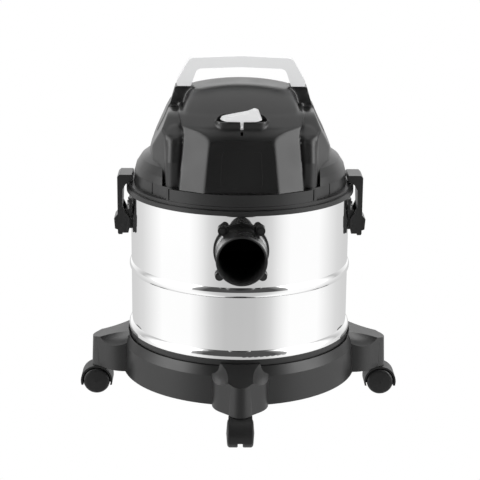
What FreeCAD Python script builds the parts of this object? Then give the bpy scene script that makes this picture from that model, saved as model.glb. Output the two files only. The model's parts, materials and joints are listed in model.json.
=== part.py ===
import FreeCAD, Part
import math
import os
import Sketcher

# A drum shop vacuum: a polished tank on a four-caster dolly, with a motor head held down by
# two side latches.  Millimetres, Z up.  The origin is on the floor under the tank's axis and
# the hose inlet points along -Y, which is the front.

Vector = FreeCAD.Vector
doc = FreeCAD.newDocument("ShopVacuum")

SIZES = {
    # tank
    "tankRadius": 145,
    "tankWall": 0.8,
    "tankBottom": 98,
    "tankTop": 290,
    "beadRise": 2.6,
    "beadHeight": 13.4,
    "midBeadTop": 193.1,
    "rimRadius": 149,
    "rimHeight": 10.5,
    "floorLift": 4,
    # dolly
    "dollyBottom": 40,
    "dollyWallTop": 78,
    "dollyTop": 90,
    "dollyRadius": 157.8,
    "dollyEdgeRadius": 150.6,
    "dollyWall": 3,
    "dollyHole": 95,
    "lobeCentre": 154,
    "lobeRadius": 36,
    "spineInner": 93,
    "spineOuter": 79.5,
    "bossRadius": 14,
    "scoopLength": 46,
    "scoopWidth": 23,
    "scoopDepth": 23,
    "screwCircle": 118,
    # casters
    "stemCircle": 185,
    "casterTrail": 9.4,
    "wheelRadius": 18,
    "wheelInner": 3.2,
    "wheelOuter": 17.7,
    "hoodRadius": 21.6,
    "hoodWall": 2.4,
    "hoodHalfWidth": 15,
    "stemRadius": 4,
    "axleRadius": 2,
    "runGap": 0.05,
    # hose inlet
    "inletHeight": 242,
    "inletBore": 29,
    "inletWall": 2,
    "inletReach": 193,
    "inletHole": 31.5,
    "flangeHalfWidth": 35,
    "flangeHalfHeight": 36,
    "gasketThick": 1.2,
    "saddleThick": 3.6,
    # lid
    "lidFlangeRadius": 150.6,
    "lidFlangeBottom": 287.5,
    "lidStep": 298,
    "lidRingRadius": 140.5,
    "lidRingTop": 313,
    "frontRingRadius": 146,
    "shoulderTop": 343,
    "wellRadius": 80,
    "wellFloor": 296,
    "suctionHole": 32,
    "plasticWall": 3,
    # latches
    "pivotReach": 149,
    "pivotHeight": 245,
    "latchHalfWidth": 20,
    "latchLugHalfWidth": 15,
    "latchOuter": 162,
    "latchTop": 309,
    "pinRadius": 2,
    # head cover
    "coverBase": 313,
    "coverBreak": 380,
    "coverTop": 430,
    "coverFront": 139,
    "coverFrontTop": 124,
    "towerTop": 423,
    "towerFloor": 392,
    "screwLength": 18,
    "towerHalfSpan": 84,
    "panelHalfWidth": 44.5,
    "panelTopHalfWidth": 38.5,
    "panelTop": 377,
    "panelThick": 2.2,
    # handle
    "handleTop": 465,
    "handleHalfSpan": 84.5,
    "handleBar": 13,
    "handleHalfDepth": 14,
    "handleFoot": 426,
    # switch
    "switchDepth": 101,
    "switchPivot": 392,
    "rockerHalfLength": 27,
    # motor
    "shaftRadius": 4,
    "fanCanRadius": 70,
    "statorRadius": 44,
    "armatureRadius": 24,
    "filterCageRadius": 60,
    "cageBottom": 218,
    "floatRadius": 37,
}


class Size:
    """A number that remembers its spreadsheet formula, so that arithmetic on it stays bound."""

    def __init__(self, number, formula):
        self.number = float(number)
        self.formula = formula

    def joined(self, other, sign, swap=False):
        right = other if isinstance(other, Size) else Size(other, "%.10g" % other)
        a, b = (right, self) if swap else (self, right)
        results = {"+": a.number + b.number, "-": a.number - b.number, "*": a.number * b.number}
        number = a.number / b.number if sign == "/" else results[sign]
        return Size(number, "(%s %s %s)" % (a.formula, sign, b.formula))

    def __add__(self, other):
        return self.joined(other, "+")

    def __radd__(self, other):
        return self.joined(other, "+", True)

    def __sub__(self, other):
        return self.joined(other, "-")

    def __rsub__(self, other):
        return self.joined(other, "-", True)

    def __mul__(self, other):
        return self.joined(other, "*")

    def __rmul__(self, other):
        return self.joined(other, "*", True)

    def __truediv__(self, other):
        return self.joined(other, "/")

    def __neg__(self):
        return self.joined(-1, "*")


sheet = doc.addObject("Spreadsheet::Sheet", "Sizes")
for row, (alias, value) in enumerate(SIZES.items(), 1):
    sheet.set("A%d" % row, alias)
    sheet.set("B%d" % row, str(value))
    sheet.setAlias("B%d" % row, alias)
doc.recompute()


class Sheet:
    """The spreadsheet's sizes as attributes."""


s = Sheet()
for alias, value in SIZES.items():
    setattr(s, alias, Size(value, "Sizes." + alias))

nodes = {}


def number(value):
    return value.number if isinstance(value, Size) else float(value)


def bind(thing, prop, value):
    if isinstance(value, Size):
        thing.setExpression(prop, value.formula)
    else:
        thing.setExpression(prop, "%.10g" % value)


def place(thing, x, y, z, rotation=None):
    start = Vector(number(x), number(y), number(z))
    thing.Placement = FreeCAD.Placement(start, rotation or FreeCAD.Rotation())
    for axis, value in (("x", x), ("y", y), ("z", z)):
        bind(thing, "Placement.Base." + axis, value)


def toAxis(axis):
    """The turn that takes +Z to the named axis."""
    turns = {"z": (1, 0, 0, 0), "x": (0, 1, 0, 90), "y": (1, 0, 0, -90), "-y": (1, 0, 0, 90),
             "-z": (1, 0, 0, 180), "-x": (0, 1, 0, -90)}
    a, b, c, angle = turns[axis]
    return FreeCAD.Rotation(Vector(a, b, c), angle)


def box(name, xs, ys, zs):
    made = doc.addObject("Part::Box", name)
    bind(made, "Length", xs[1] - xs[0])
    bind(made, "Width", ys[1] - ys[0])
    bind(made, "Height", zs[1] - zs[0])
    place(made, xs[0], ys[0], zs[0])
    return made


def rod(name, radius, length, at, axis="z"):
    made = doc.addObject("Part::Cylinder", name)
    bind(made, "Radius", radius)
    bind(made, "Height", length)
    place(made, at[0], at[1], at[2], toAxis(axis))
    return made


def cone(name, low, high, height, at):
    made = doc.addObject("Part::Cone", name)
    bind(made, "Radius1", low)
    bind(made, "Radius2", high)
    bind(made, "Height", height)
    place(made, *at)
    return made


def ball(name, radius, at):
    made = doc.addObject("Part::Sphere", name)
    bind(made, "Radius", radius)
    place(made, *at)
    return made


def ring(name, outer, inner, low, high, at=(0, 0)):
    bar = rod(name + "Bar", outer, high - low, (at[0], at[1], low))
    hole = rod(name + "Hole", inner, high - low, (at[0], at[1], low))
    return cut(name, bar, hole)


def fuse(name, *parts, refine=True):
    made = doc.addObject("Part::MultiFuse", name)
    made.Shapes = list(parts)
    made.Refine = refine
    return made


def common(name, *parts):
    made = doc.addObject("Part::MultiCommon", name)
    made.Shapes = list(parts)
    return made


def cut(name, base, *tools):
    made = doc.addObject("Part::Cut", name)
    made.Base = base
    made.Tool = tools[0] if len(tools) == 1 else fuse(name + "Tools", *tools)
    return made


def group(name, *parts):
    made = doc.addObject("Part::Compound", name)
    made.Links = list(parts)
    return made


def node(label, thing):
    thing.Label = label
    nodes[label] = thing
    return thing


def arcCentre(a, b, radius, turn):
    """Centre of the short arc from a to b, turning left for +1 and right for -1."""
    across = b - a
    middle = (a + b) * 0.5
    lift = math.sqrt(max(radius * radius - across.Length * across.Length / 4, 0))
    left = Vector(-across.y, across.x, 0)
    left.normalize()
    return middle + left * (lift * turn)


def draw(sketch, corners):
    """A closed outline.  A corner is (x, y), or (x, y, radius, turn) where an arc leads to it."""
    count = len(corners)
    spots = [Vector(number(c[0]), number(c[1]), 0) for c in corners]
    ends = []
    for i in range(count):
        a, b, corner = spots[i - 1], spots[i], corners[i]
        if len(corner) == 2:
            edge = sketch.addGeometry(Part.LineSegment(a, b), False)
            ends.append((edge, 1, 2))
            continue
        radius, turn = number(corner[2]), corner[3]
        centre = arcCentre(a, b, radius, turn)
        first, last = (a, b) if turn > 0 else (b, a)
        start = math.atan2(first.y - centre.y, first.x - centre.x)
        stop = math.atan2(last.y - centre.y, last.x - centre.x)
        circle = Part.Circle(centre, Vector(0, 0, 1), radius)
        edge = sketch.addGeometry(Part.ArcOfCircle(circle, start, stop), False)
        ends.append((edge, 1, 2) if turn > 0 else (edge, 2, 1))
    for i in range(count):
        edge, first, last = ends[i]
        after, afterFirst, _ = ends[(i + 1) % count]
        sketch.addConstraint(Sketcher.Constraint("Coincident", edge, last, after, afterFirst))
    for i in range(count):
        edge, first, last = ends[i]
        for kind, k in (("DistanceX", 0), ("DistanceY", 1)):
            rule = Sketcher.Constraint(kind, -1, 1, edge, last, number(corners[i][k]))
            held = sketch.addConstraint(rule)
            bind(sketch, "Constraints[%d]" % held, corners[i][k])
        if len(corners[i]) > 2:
            held = sketch.addConstraint(Sketcher.Constraint("Radius", edge, number(corners[i][2])))
            bind(sketch, "Constraints[%d]" % held, corners[i][2])


def sketchOn(body, plane, name):
    sketch = body.newObject("Sketcher::SketchObject", name)
    face = [f for f in body.Origin.OriginFeatures if f.Role == plane][0]
    sketch.AttachmentSupport = [(face, "")]
    sketch.MapMode = "FlatFace"
    return sketch


def lathe(name, corners, at=(0, 0, 0), axis="z"):
    """A body turned about its own Z axis from (radius, height) corners."""
    body = doc.addObject("PartDesign::Body", name)
    sketch = sketchOn(body, "XZ_Plane", name + "Profile")
    draw(sketch, corners)
    turn = body.newObject("PartDesign::Revolution", name + "Turn")
    turn.Profile = sketch
    turn.ReferenceAxis = (sketch, ["V_Axis"])
    turn.Angle = 360
    place(body, at[0], at[1], at[2], toAxis(axis))
    return body


PLANES = {"xy": "XY_Plane", "xz": "XZ_Plane", "yz": "YZ_Plane"}


def pad(name, corners, plane, low, high):
    """A body padded from an outline, between two places on the axis across its plane."""
    body = doc.addObject("PartDesign::Body", name)
    sketch = sketchOn(body, PLANES[plane], name + "Outline")
    bind(sketch, "AttachmentOffset.Base.z", -high if plane == "xz" else low)
    draw(sketch, corners)
    made = body.newObject("PartDesign::Pad", name + "Pad")
    made.Profile = sketch
    bind(made, "Length", high - low)
    return body


def mirrored(points):
    """Closes a right-hand half outline, given from the bottom up, with its mirror image."""
    left = []
    for i in range(len(points) - 1, -1, -1):
        curve = points[i + 1][2:] if i + 1 < len(points) and len(points[i + 1]) > 2 else ()
        left.append((-points[i][0], points[i][1]) + tuple(curve))
    return list(points) + left


def screws(name, spots, axis, head, headHeight, shank, length):
    """Identical screws; each spot is the underside of a head, and the shank runs along axis."""
    back = {"z": "-z", "-z": "z", "y": "-y", "-y": "y"}[axis]
    made = []
    for i, at in enumerate(spots):
        top = rod("%sHead%d" % (name, i), head, headHeight, at, back)
        stem = rod("%sStem%d" % (name, i), shank, length, at, axis)
        made.append(fuse("%sOne%d" % (name, i), top, stem))
    return group(name, *made)


FOUR_WAYS = (("front", 0, -1), ("right", 1, 0), ("rear", 0, 1), ("left", -1, 0))


def slopeHeight(reach):
    """Height of a lobe's sloping top at a distance from the axis."""
    fall = (s.spineInner - s.spineOuter) / (s.stemCircle + s.bossRadius - s.dollyEdgeRadius)
    return s.spineInner - fall * (reach - s.dollyEdgeRadius)


def scoop(name, ux, uy, side):
    """The hollow beside a lobe's spine: an egg shape lying along it and turned in at the tip."""
    made = doc.addObject("Part::Ellipsoid", "%sScoop%d" % (name, side + 1))
    bind(made, "Radius1", s.scoopDepth)
    bind(made, "Radius2", s.scoopLength)
    bind(made, "Radius3", s.scoopWidth)
    reach, aside = s.lobeCentre + 28, s.lobeRadius - 1
    along = math.degrees(math.atan2(uy, ux)) - 12 * side
    turn = FreeCAD.Rotation(Vector(0, 0, 1), along)
    place(made, ux * reach - uy * side * aside, uy * reach + ux * side * aside, s.spineInner + 4, turn)
    return made


def makeDolly():
    t = s.dollyWall
    seatOuter = s.rimRadius - 0.8
    seatInner = seatOuter - t
    ringBody = lathe("dollyRing", [
        (s.dollyRadius, s.dollyBottom),
        (s.dollyRadius - 1.5, s.dollyWallTop),
        (s.dollyEdgeRadius, s.dollyTop),
        (s.dollyEdgeRadius - 0.6, s.dollyTop),
        (s.dollyEdgeRadius - 0.6, s.dollyTop - 5),
        (seatOuter, s.dollyTop - 5),
        (seatOuter, s.tankBottom),
        (seatInner, s.tankBottom),
        (seatInner, s.dollyTop - 3),
        (s.dollyHole, s.dollyTop - 3),
        (s.dollyHole, s.dollyBottom + 20),
        (s.dollyHole + t, s.dollyBottom + 20),
        (s.dollyHole + t, s.dollyTop - 6),
        (s.dollyEdgeRadius - 3, s.dollyTop - 8),
        (s.dollyRadius - 1.5 - t, s.dollyWallTop - 1),
        (s.dollyRadius - t, s.dollyBottom),
    ])
    parts, sockets, cavities = [ringBody], [], []
    outer = s.stemCircle + s.bossRadius
    for name, ux, uy in FOUR_WAYS:
        def tab(label, radius, low, high):
            end = rod(label + "End", radius, high - low, (ux * s.lobeCentre, uy * s.lobeCentre, low))
            near, far = s.lobeCentre - 30, s.lobeCentre
            xs = (ux * near, ux * far) if ux > 0 else (ux * far, ux * near)
            ys = (uy * near, uy * far) if uy > 0 else (uy * far, uy * near)
            if ux:
                root = box(label + "Root", xs, (-radius, radius), (low, high))
            else:
                root = box(label + "Root", (-radius, radius), ys, (low, high))
            return fuse(label, end, root)

        along = ux + uy
        low, high = s.dollyEdgeRadius - 40, outer + 5
        plane = "xz" if ux else "yz"
        slope = pad(name + "Slope", [
            (along * low, s.dollyBottom),
            (along * high, s.dollyBottom),
            (along * high, slopeHeight(high)),
            (along * low, slopeHeight(low)),
        ], plane, -60, 60)
        lobe = tab(name + "Lobe", s.lobeRadius, s.dollyBottom, s.tankBottom + 10)
        boss = cone(name + "Boss", s.bossRadius + 1.8, s.bossRadius - 0.5, 60,
                    (ux * s.stemCircle, uy * s.stemCircle, s.dollyBottom))
        scoops = [scoop(name, ux, uy, side) for side in (-1, 1)]
        tip = []
        for centre, radius, side in ((s.lobeCentre, s.lobeRadius, -1), (s.stemCircle, s.bossRadius, -1),
                                     (s.stemCircle, s.bossRadius, 1), (s.lobeCentre, s.lobeRadius, 1)):
            out, aside = centre + radius * 0.704, side * radius * 0.71
            tip.append((ux * out - uy * aside, uy * out + ux * aside))
        nose = pad(name + "Nose", tip, "xy", s.dollyBottom, s.tankBottom + 10)
        shaped = cut(name + "Shaped", fuse(name + "LobeNose", lobe, nose), *scoops)
        whole = common(name + "Top", fuse(name + "Mass", shaped, boss), slope)
        clear = rod(name + "Clear", s.dollyEdgeRadius - 0.3, 80, (0, 0, s.dollyBottom))
        parts.append(cut(name + "Outside", whole, clear))
        hollow = tab(name + "Hollow", s.lobeRadius - t, s.dollyBottom, s.dollyBottom + 24)
        keepBoss = rod(name + "KeepBoss", s.bossRadius, 30,
                       (ux * s.stemCircle, uy * s.stemCircle, s.dollyBottom))
        inner = rod(name + "KeepRing", s.dollyRadius, 30, (0, 0, s.dollyBottom))
        cavities.append(cut(name + "Cavity", hollow, keepBoss, inner))
        at = (ux * s.stemCircle, uy * s.stemCircle, s.dollyBottom)
        cavities.append(rod(name + "BushHole", s.stemRadius + 1.6, 29, at))
        cavities.append(rod(name + "BushRim", s.stemRadius + 3.2, 1.5, at))
        bush = rod(name + "BushBody", s.stemRadius + 1.6, 28.5, at)
        bushRim = rod(name + "BushLip", s.stemRadius + 3.2, 1.5, at)
        bore = rod(name + "BushBore", s.stemRadius + s.runGap, 28.5, at)
        sockets.append(cut(name + "Bush", fuse(name + "BushWhole", bush, bushRim), bore))
    posts, holes, spots = [], [], []
    for i, (cx, cy) in enumerate(((1, 1), (-1, 1), (-1, -1), (1, -1))):
        at = s.screwCircle * 0.70710678
        spot = (cx * at, cy * at)
        low = s.dollyTop - 6
        posts.append(rod("post%d" % i, 8, s.tankBottom + s.floorLift - low, (spot[0], spot[1], low)))
        holes.append(rod("postHole%d" % i, 2.5, 20, (spot[0], spot[1], low + 3)))
        spots.append(spot)
    solid = fuse("dollySolid", *(parts + posts))
    node("dolly_base", cut("dollyBase", solid, *(cavities + holes)))
    node("caster_bushes", group("casterBushes", *sockets))
    floorTop = s.tankBottom + s.floorLift + s.tankWall
    heads = [(x, y, floorTop) for x, y in spots]
    node("tank_screws", screws("tankScrews", heads, "-z", 5.5, 3, 2.5, 14))
    return spots


def makeCasters():
    ride = s.wheelRadius
    for name, ux, uy in FOUR_WAYS:
        sx, sy = ux * s.stemCircle, uy * s.stemCircle
        ax, ay = ux * (s.stemCircle + s.casterTrail), uy * (s.stemCircle + s.casterTrail)
        tangent = "y" if ux else "x"

        def across(label, radius, low, high):
            if ux:
                return rod(label, radius, high - low, (ax, low, ride), "y")
            return rod(label, radius, high - low, (low, ay, ride), "x")

        half = s.hoodHalfWidth
        shell = cut(name + "HoodShell", across(name + "HoodOuter", s.hoodRadius, -half, half),
                    across(name + "HoodInner", s.hoodRadius - s.hoodWall, -half, half))
        lift = ride - 6
        wide = 40
        if ux:
            above = box(name + "HoodAbove", (ax - wide, ax + wide), (-wide, wide), (lift, lift + 60))
        else:
            above = box(name + "HoodAbove", (-wide, wide), (ay - wide, ay + wide), (lift, lift + 60))
        hood = common(name + "Hood", shell, above)
        web = common(name + "Web", across(name + "WebDisc", s.hoodRadius - 1, -2.6, 2.6), above)
        boss = rod(name + "HoodBoss", s.stemRadius + 3, 14, (sx, sy, s.dollyBottom - 15))
        neck = s.dollyBottom - 4
        wheelRoom = []
        for side, low, high in (("A", s.wheelInner - 0.6, half + 5), ("B", -half - 5, 0.6 - s.wheelInner)):
            wheelRoom.append(across(name + "Room" + side, s.hoodRadius - s.hoodWall, low, high))
        boss = cut(name + "HoodBossCut", boss, *wheelRoom)
        stemHole = rod(name + "StemHole", s.stemRadius, 40, (sx, sy, neck))
        pinHole = rod(name + "PinHole", s.stemRadius - 2.4, 12, (sx, sy, neck - 10))
        axleHole = across(name + "AxleHole", s.axleRadius, -half, half)
        solid = fuse(name + "HoodSolid", hood, web, boss)
        node("caster_hood_" + name, cut(name + "HoodDone", solid, stemHole, pinHole, axleHole))
        tip = ball(name + "StemTip", s.stemRadius, (sx, sy, s.dollyBottom + 23))
        stem = rod(name + "StemBar", s.stemRadius, s.dollyBottom + 23 - neck, (sx, sy, neck))
        pin = rod(name + "StemPin", s.stemRadius - 2.4, 11, (sx, sy, neck - 10))
        node("caster_stem_" + name, fuse(name + "Stem", stem, tip, pin))
        node("caster_axle_" + name, across(name + "Axle", s.axleRadius, 1.5 - half, half - 1.5))
        for side, sign in (("left", 1), ("right", -1)):
            bore = s.axleRadius + s.runGap
            depth = s.hoodHalfWidth - 1.2
            profile = [
                (bore, s.wheelInner),
                (ride - 0.8, s.wheelInner),
                (ride, s.wheelInner + 1),
                (ride, s.wheelOuter - 4.5),
                (ride - 2.2, s.wheelOuter - 1.6, 4, 1),
                (ride - 4.5, s.wheelOuter - 1.1),
                (0, s.wheelOuter),
                (0, depth),
                (bore, depth),
            ]
            axis = {("y", 1): "y", ("y", -1): "-y", ("x", 1): "x", ("x", -1): "-x"}[(tangent, sign)]
            wheel = lathe("%sWheel%s" % (name, side.title()), profile, (ax, ay, ride), axis)
            node("wheel_%s_%s" % (name, side), wheel)


def makeTank(spots):
    t = s.tankWall
    r, b, top = s.tankRadius, s.tankBottom, s.tankTop
    beadLow = s.midBeadTop - s.beadHeight
    beadArc = s.beadHeight * s.beadHeight / (8 * s.beadRise) + s.beadRise / 2
    floor = b + s.floorLift
    body = lathe("tankTurned", [
        (0, floor),
        (s.rimRadius - 4.6, floor),
        (s.rimRadius - 4.6, b),
        (s.rimRadius - 0.8, b),
        (s.rimRadius, b + 1),
        (s.rimRadius, b + 3),
        (r, b + s.rimHeight + 1, 10, 1),
        (r, beadLow),
        (r, s.midBeadTop, beadArc, 1),
        (r, top - 5),
        (r + 2.6, top - 4),
        (r + 3, top - 2),
        (r + 2, top),
        (r - t, top),
        (r - t, s.midBeadTop - 0.3),
        (r - t, beadLow + 0.3, beadArc - t, -1),
        (r - t, floor + t),
        (0, floor + t),
    ])
    tools = [rod("inletHoleTool", s.inletHole, 40, (0, 20 - r, s.inletHeight), "-y")]
    for i, (x, z) in enumerate(inletScrewSpots()):
        tools.append(rod("inletScrewTool%d" % i, 2, 60, (x, -100, z), "-y"))
    for i, (x, y) in enumerate(spots):
        tools.append(rod("tankScrewTool%d" % i, 2.5, 20, (x, y, b)))
    for side in (-1, 1):
        for i, y in enumerate((-9, 9)):
            low = r - 12 if side > 0 else -r - 12
            tools.append(rod("rivetTool%d%d" % (side + 1, i), 2, 24, (low, y, s.pivotHeight + 24), "x"))
    node("tank", cut("tankDone", body, *tools))


def inletScrewSpots():
    z = s.inletHeight
    return ((-23.5, z + 28), (23.5, z + 28), (-27, z - 31), (27, z - 31))


def saddleOutline(name, grow):
    """The inlet flange's outline seen from the front: an ellipse with four screw lugs."""
    a, b = s.flangeHalfWidth + grow, s.flangeHalfHeight + grow
    oval = doc.addObject("Part::Ellipse", name + "Edge")
    bind(oval, "MajorRadius", b)
    bind(oval, "MinorRadius", a)
    oval.Placement = FreeCAD.Placement(Vector(), FreeCAD.Rotation(Vector(0, 0, 1), 90))
    sweep = doc.addObject("Part::Extrusion", name + "Oval")
    sweep.Base = oval
    sweep.DirMode = "Custom"
    sweep.Dir = Vector(0, 0, 1)
    sweep.LengthFwd = 80
    sweep.Solid = True
    place(sweep, 0, -90, s.inletHeight, toAxis("-y"))
    lugs = []
    for i, (x, z) in enumerate(inletScrewSpots()):
        lugs.append(rod("%sLug%d" % (name, i), 6 + grow, 80, (x, -90, z), "-y"))
    return fuse(name, sweep, *lugs)


def makeInlet():
    z, r = s.inletHeight, s.tankRadius
    front = s.inletReach
    gasketOuter = r + s.gasketThick
    saddleOuter = gasketOuter + s.saddleThick
    low, high = z - 60, z + 60
    screwHoles = []
    for i, (x, sz) in enumerate(inletScrewSpots()):
        screwHoles.append(rod("saddleScrewHole%d" % i, 2, 80, (x, -90, sz), "-y"))
    gasket = common("gasketBand", ring("gasketRing", gasketOuter, r, low, high),
                    saddleOutline("gasketOutline", 0))
    gasketHole = rod("gasketHole", s.inletHole, 80, (0, -90, z), "-y")
    node("inlet_gasket", cut("inletGasket", gasket, gasketHole, *screwHoles))
    saddle = common("saddleBand", ring("saddleRing", saddleOuter, gasketOuter, low, high),
                    saddleOutline("saddleOutline", 0))
    tubeOuter = s.inletBore + s.inletWall
    lip = tubeOuter + 0.8
    tube = lathe("inletTube", [
        (s.inletBore, 0),
        (tubeOuter, 0),
        (tubeOuter, front - 133),
        (lip, front - 131),
        (lip, front - 128.5),
        (lip - 1, front - 127.5),
        (s.inletBore, front - 127.5),
    ], (0, -127.5, z), "-y")
    upper = []
    for i, side in enumerate((-1, 1)):
        upper.append(rod("inletTower%d" % i, 6, 14, (side * 23.5, -saddleOuter + 9, z + 28), "-y"))
        upper.append(rod("inletFoot%d" % i, 5.5, 17, (side * 27, -saddleOuter + 12, z - 31), "-y"))
    nib = box("inletNib", (-1.6, 1.6), (-saddleOuter - 3, -r - 1.4),
              (z + s.flangeHalfHeight - 3, z + s.flangeHalfHeight + 3))
    collar = lathe("inletCollar", [
        (s.inletBore + 1, 0),
        (tubeOuter + 3, 0),
        (tubeOuter, 16),
        (s.inletBore + 1, 16),
    ], (0, -142, z), "-y")
    backCut = rod("inletBackCut", gasketOuter, 140, (0, 0, z - 70))
    lugs = cut("inletAdds", fuse("inletLugs", nib, collar, *upper, refine=False), backCut)
    outside = fuse("inletOutside", saddle, lugs, refine=False)
    bore = rod("inletBoreTool", s.inletBore, 90, (0, -120, z), "-y")
    latchHole = rod("inletLatchHole", 2.5, 12, (0, -172, z + s.inletBore - 3))
    solid = fuse("inletSolid", outside, tube, refine=False)
    node("inlet_fitting", cut("inletFitting", solid, bore, latchHole, *screwHoles))
    spots = []
    for i, (x, sz) in enumerate(inletScrewSpots()):
        depth = -saddleOuter + 9 - 14 if i < 2 else -saddleOuter + 12 - 17
        spots.append((x, depth, sz))
    node("inlet_screws", screws("inletScrews", spots, "y", 3.4, 1.6, 2, 24))
    elbowOuter = tubeOuter + 2.6
    elbow = lathe("elbowCan", [
        (tubeOuter, 0),
        (elbowOuter, 0),
        (elbowOuter, 34),
        (0, 34),
        (0, 31.6),
        (tubeOuter, 31.6),
    ], (0, -139, z), "y")
    down = box("elbowMouth", (-40, 40), (-126.5, -90), (z - 45, z - 12))
    node("inlet_deflector", cut("inletDeflector", elbow, down))


def makeLatches():
    r = s.tankRadius
    px, pz = s.pivotReach, s.pivotHeight
    w, lug = s.latchHalfWidth, s.latchLugHalfWidth
    clear = 0.5
    for side, sign in (("left", -1), ("right", 1)):
        def put(corners):
            return [(sign * c[0], c[1]) for c in corners]

        plate = common(side + "PlateBand", ring(side + "PlateRing", r + 2.6, r, pz - 10, pz + 31),
                       box(side + "PlateBox",
                           (sign * (r + 14), sign * (r - 40)) if sign < 0 else (r - 40, r + 14),
                           (-lug, lug), (pz - 10, pz + 31)))
        lugBody = pad(side + "Lug", put([
            (r - 3, pz - 8), (px + 2, pz - 5), (px + 4, pz), (px + 3.5, pz + 14), (r - 3, pz + 18),
        ]), "xz", -(lug - 1), lug - 1)
        drum = rod(side + "LugDrum", r, 80, (0, 0, pz - 30))
        whole = fuse(side + "BracketSolid", plate, cut(side + "LugCut", lugBody, drum))
        pinHole = rod(side + "PinHole", s.pinRadius, 60, (sign * px, -30, pz), "y")
        rivetHoles = []
        for i, y in enumerate((-9, 9)):
            low = (r - 12) if sign > 0 else (-r - 12)
            rivetHoles.append(rod("%sRivetHole%d" % (side, i), 2, 24, (low, y, pz + 24), "x"))
        node("latch_bracket_" + side, cut(side + "Bracket", whole, pinHole, *rivetHoles))
        node("latch_pin_" + side, rod(side + "Pin", s.pinRadius, 2 * w - 1, (sign * px, 0.5 - w, pz), "y"))
        outer, top = s.latchOuter, s.latchTop
        arm = pad(side + "Arm", put([
            (outer - 6, pz - 17), (outer - 1, pz - 17), (outer, pz - 15), (outer, top - 3), (outer - 3, top),
            (s.lidRingRadius + 2.5, top), (s.lidRingRadius + 1, top - 2),
            (s.lidRingRadius + 1, s.lidStep + 4.5),
            (px + 2, s.lidStep - 2), (outer - 7, s.lidStep - 9), (outer - 6, pz + 20),
        ]), "xz", -w, w)
        cheek = pad(side + "Cheek", put([
            (px - 1, pz - 15), (outer - 5, pz - 15), (outer - 5, pz + 24), (px + 2.5, pz + 13),
            (px - 3, pz + 5), (px - 3, pz - 6),
        ]), "xz", -w, w)
        gap = box(side + "CheekGap", (px - 10, outer - 6) if sign > 0 else (6 - outer, 10 - px),
                  (-lug - clear, lug + clear), (pz - 30, pz + 40))
        thumb = pad(side + "Thumb", put([
            (outer - 1, pz - 12), (outer + 4, pz - 10), (outer + 5, pz + 4), (outer - 1, pz + 11),
        ]), "xz", 3 - w, w - 3)
        pinBore = rod(side + "PinBore", s.pinRadius + s.runGap, 60, (sign * px, -30, pz), "y")
        wire = makeClawWire(side, sign)
        lever = fuse(side + "LeverSolid", arm, cut(side + "Cheeks", cheek, gap), thumb)
        node("latch_lever_" + side, cut(side + "LeverDone", lever, pinBore, wire))
        node("latch_wire_" + side, wire)


def makeClawWire(side, sign):
    """The latch's sprung steel claw: a bent wire whose cross bar bears on the lid's flange."""
    made = doc.addObject("Part::Feature", side + "Wire")
    reach = s.lidRingRadius.number + 2.3
    high = s.lidStep.number + 1.3
    root = s.latchOuter.number - 5.8
    half = s.latchHalfWidth.number - 5
    knee = reach + 6.4
    path = [
        Vector(sign * root, -half, high - 7), Vector(sign * knee, -half, high),
        Vector(sign * reach, -half, high),
        Vector(sign * reach, half, high), Vector(sign * knee, half, high),
        Vector(sign * root, half, high - 7),
    ]
    shape = None
    for a, b in zip(path[:-1], path[1:]):
        bar = Part.makeCylinder(1.0, (b - a).Length, a, b - a)
        joint = Part.makeSphere(1.0, b)
        shape = bar.fuse(joint) if shape is None else shape.fuse([bar, joint])
    made.Shape = shape.removeSplitter()
    return made


def makeRivets():
    made = []
    for side, sign in (("left", -1), ("right", 1)):
        for i, y in enumerate((-9, 9)):
            seat = s.tankRadius + 2.7
            z = s.pivotHeight + 24
            x = sign * (seat - 16) if sign > 0 else sign * seat
            shank = rod("%sRivetShank%d" % (side, i), 2, 16, (x, y, z), "x")
            hx = sign * seat if sign > 0 else sign * (seat + 1.8)
            head = rod("%sRivetHead%d" % (side, i), 3.4, 1.8, (hx, y, z), "x")
            made.append(fuse("%sRivet%d" % (side, i), shank, head))
    node("bracket_screws", group("bracketScrews", *made))


def shoulderProfile():
    z = s.lidRingTop
    r = s.lidRingRadius
    top = s.shoulderTop
    return [
        (r - 0.7, z - 1), (r - 3.5, z + 10), (r - 10, z + 20), (r - 19, z + 26.5), (r - 28, top), (100, top),
        (100, top - 3), (r - 29, top - 3), (r - 20.5, z + 23.5), (r - 12.5, z + 17), (r - 6.5, z + 8),
        (r - 3.7, z - 1),
    ]


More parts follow.
